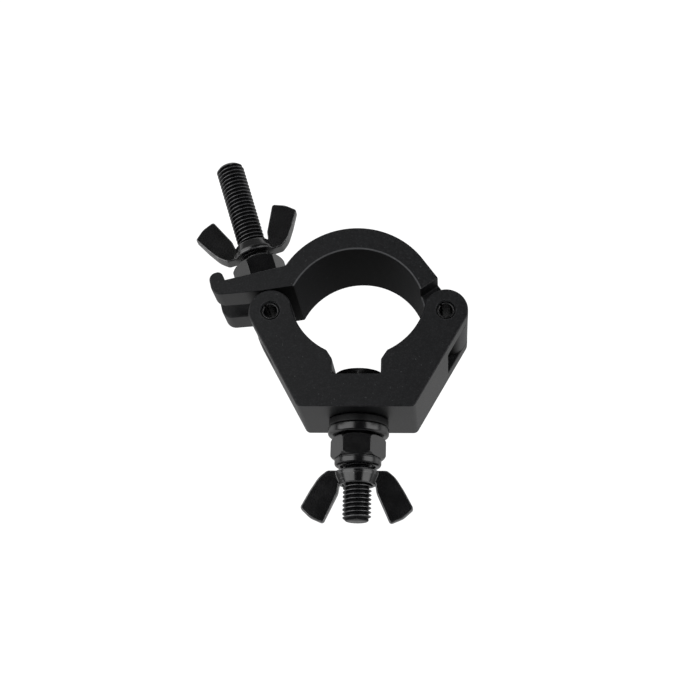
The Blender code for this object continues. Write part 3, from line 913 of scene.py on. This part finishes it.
def make_world():
    """A white studio: bright behind and beside the object, two soft boxes in front, dim between them."""
    world = bpy.data.worlds.new("studio")
    bpy.context.scene.world = world
    world.use_nodes = True
    tree = world.node_tree
    tree.nodes.clear()
    coords = tree.nodes.new("ShaderNodeTexCoord")
    parts = tree.nodes.new("ShaderNodeSeparateXYZ")
    tree.links.new(coords.outputs["Generated"], parts.inputs[0])
    x, y, z = (parts.outputs[name] for name in "XYZ")
    ahead = times(tree, y, -1.0)
    azimuth = times(tree, x, ahead, "ARCTAN2")
    light = times(tree, band(tree, y, BACK_STARTS, 3.0, 0.15), BACK_LIGHT)
    light = times(tree, light, times(tree, band(tree, y, SIDE_STARTS, BACK_STARTS, 0.15), SIDE_LIGHT), "ADD")
    height = band(tree, z, BOX_LOW, BOX_HIGH, 0.06)
    for low, high, strength in SOFT_BOXES:
        panel = band(tree, azimuth, math.radians(low), math.radians(high), math.radians(4))
        light = times(tree, light, times(tree, times(tree, panel, height), strength), "ADD")
    light = times(tree, light, times(tree, band(tree, z, 0.6, 3.0, 0.15), TOP_LIGHT), "ADD")
    light = times(tree, light, FRONT_LIGHT, "ADD")
    rays = tree.nodes.new("ShaderNodeLightPath")
    seen = tree.nodes.new("ShaderNodeMix")
    seen.data_type = "FLOAT"
    background = tree.nodes.new("ShaderNodeBackground")
    output = tree.nodes.new("ShaderNodeOutputWorld")
    tree.links.new(rays.outputs["Is Camera Ray"], seen.inputs["Factor"])
    tree.links.new(light, seen.inputs["A"])
    seen.inputs["B"].default_value = BACKDROP
    tree.links.new(seen.outputs["Result"], background.inputs["Strength"])
    background.inputs["Color"].default_value = (1, 1, 1, 1)
    tree.links.new(background.outputs[0], output.inputs[0])


def make_camera():
    data = bpy.data.cameras.new("camera")
    data.sensor_width = CAMERA_SENSOR
    data.lens = CAMERA_LENS
    data.clip_start, data.clip_end = 0.01, 20
    cam = bpy.data.objects.new("camera", data)
    yaw, rise, roll = (math.radians(a) for a in (CAMERA_YAW, CAMERA_RISE, CAMERA_ROLL))
    forward = Vector((-math.sin(yaw) * math.cos(rise), math.cos(yaw) * math.cos(rise), math.sin(rise)))
    cam.location = Vector(CAMERA_AIM) * MM - forward * CAMERA_DISTANCE
    cam.rotation_mode = "QUATERNION"
    cam.rotation_quaternion = forward.to_track_quat("-Z", "Y") @ Quaternion((0, 0, 1), roll)
    bpy.context.scene.collection.objects.link(cam)
    bpy.context.scene.camera = cam


# ---------------------------------------------------------------- build
def build():
    coat = coat_finish("body_powder_coat", (0.0, 0.0), 0.0)
    hinge = Matrix.Translation((PIN_X, 0, PIN_Z)) @ Matrix.Rotation(-CLOSED_ANGLE, 4, "Y")
    mouth = hinge @ Vector((-PIN_X, 0, -PIN_Z))
    jaw_coat = coat_finish("jaw_powder_coat", (mouth.x, mouth.z), 1.0)
    swing = Matrix.Translation((-PIN_X, 0, PIN_Z)) @ Matrix.Rotation(-SWING_LEAN, 4, "Y")
    steel = oxide_finish("black_oxide_steel", 0.22, 0.8)
    cast = oxide_finish("black_cast_wings", 0.20, 0.9, 0.0)
    hanging_steel = oxide_finish("hanging_bolt_steel", 0.27, 0.6, 0.0003, Matrix())
    swing_steel = oxide_finish("eye_bolt_steel", 0.27, 0.6, 0.0003, swing, SWING_THREAD_R)
    matte = oxide_finish("matte_black_steel", 0.52, 0.4)
    nylon = nylon_finish()
    make_body(coat)
    make_jaw(jaw_coat, hinge)
    make_pin("right_pin", "jaw_hinge_pin", 1, steel)
    make_pin("left_pin", "swing_bolt_pin", -1, steel)

    make_swing_bolt(swing_steel, swing)
    turn = Matrix.Rotation(math.radians(NUT_TURN), 4, "Z")
    on_swing = swing @ Matrix.Translation((0, 0, SWING_NUT)) @ turn
    stand_for(hex_nut("upper_nut", on_swing), "swing_hex_nut", "swing_nut", steel)
    swing_wing = swing @ Matrix.Translation((0, 0, SWING_WING))
    upper = wing_nut("upper_wings", "swing_wing_nut", SWING_CLEAR_R, swing_wing)
    stand_for(upper, "swing_wing_nut", "swing_wing_nut", cast)

    make_main_bolt(hanging_steel)
    make_washer("plain_washer", "upper_washer", 0.00035, 0.0004, matte)
    make_washer("round_washer", "lower_washer", 0.0003, 0.0012, steel)
    over = Matrix.Rotation(math.pi, 4, "X")
    under_nut = Matrix.Translation((0, 0, nut_high.z)) @ over
    stand_for(lock_nut("lower_nut", under_nut), "main_lock_nut", "main_lock_nut", steel)
    stand_for(insert_ring("lower_insert", under_nut), "main_nut_insert", "main_nut_carrier", nylon)
    main_wing = Matrix.Translation((0, 0, wing_high.z)) @ over
    lower = wing_nut("lower_wings", "main_wing_nut", CLEAR_R, main_wing)
    stand_for(lower, "main_wing_nut", "main_wing_nut", cast)


build()
make_floor()
make_world()
make_camera()
bpy.context.scene.view_settings.view_transform = "Standard"
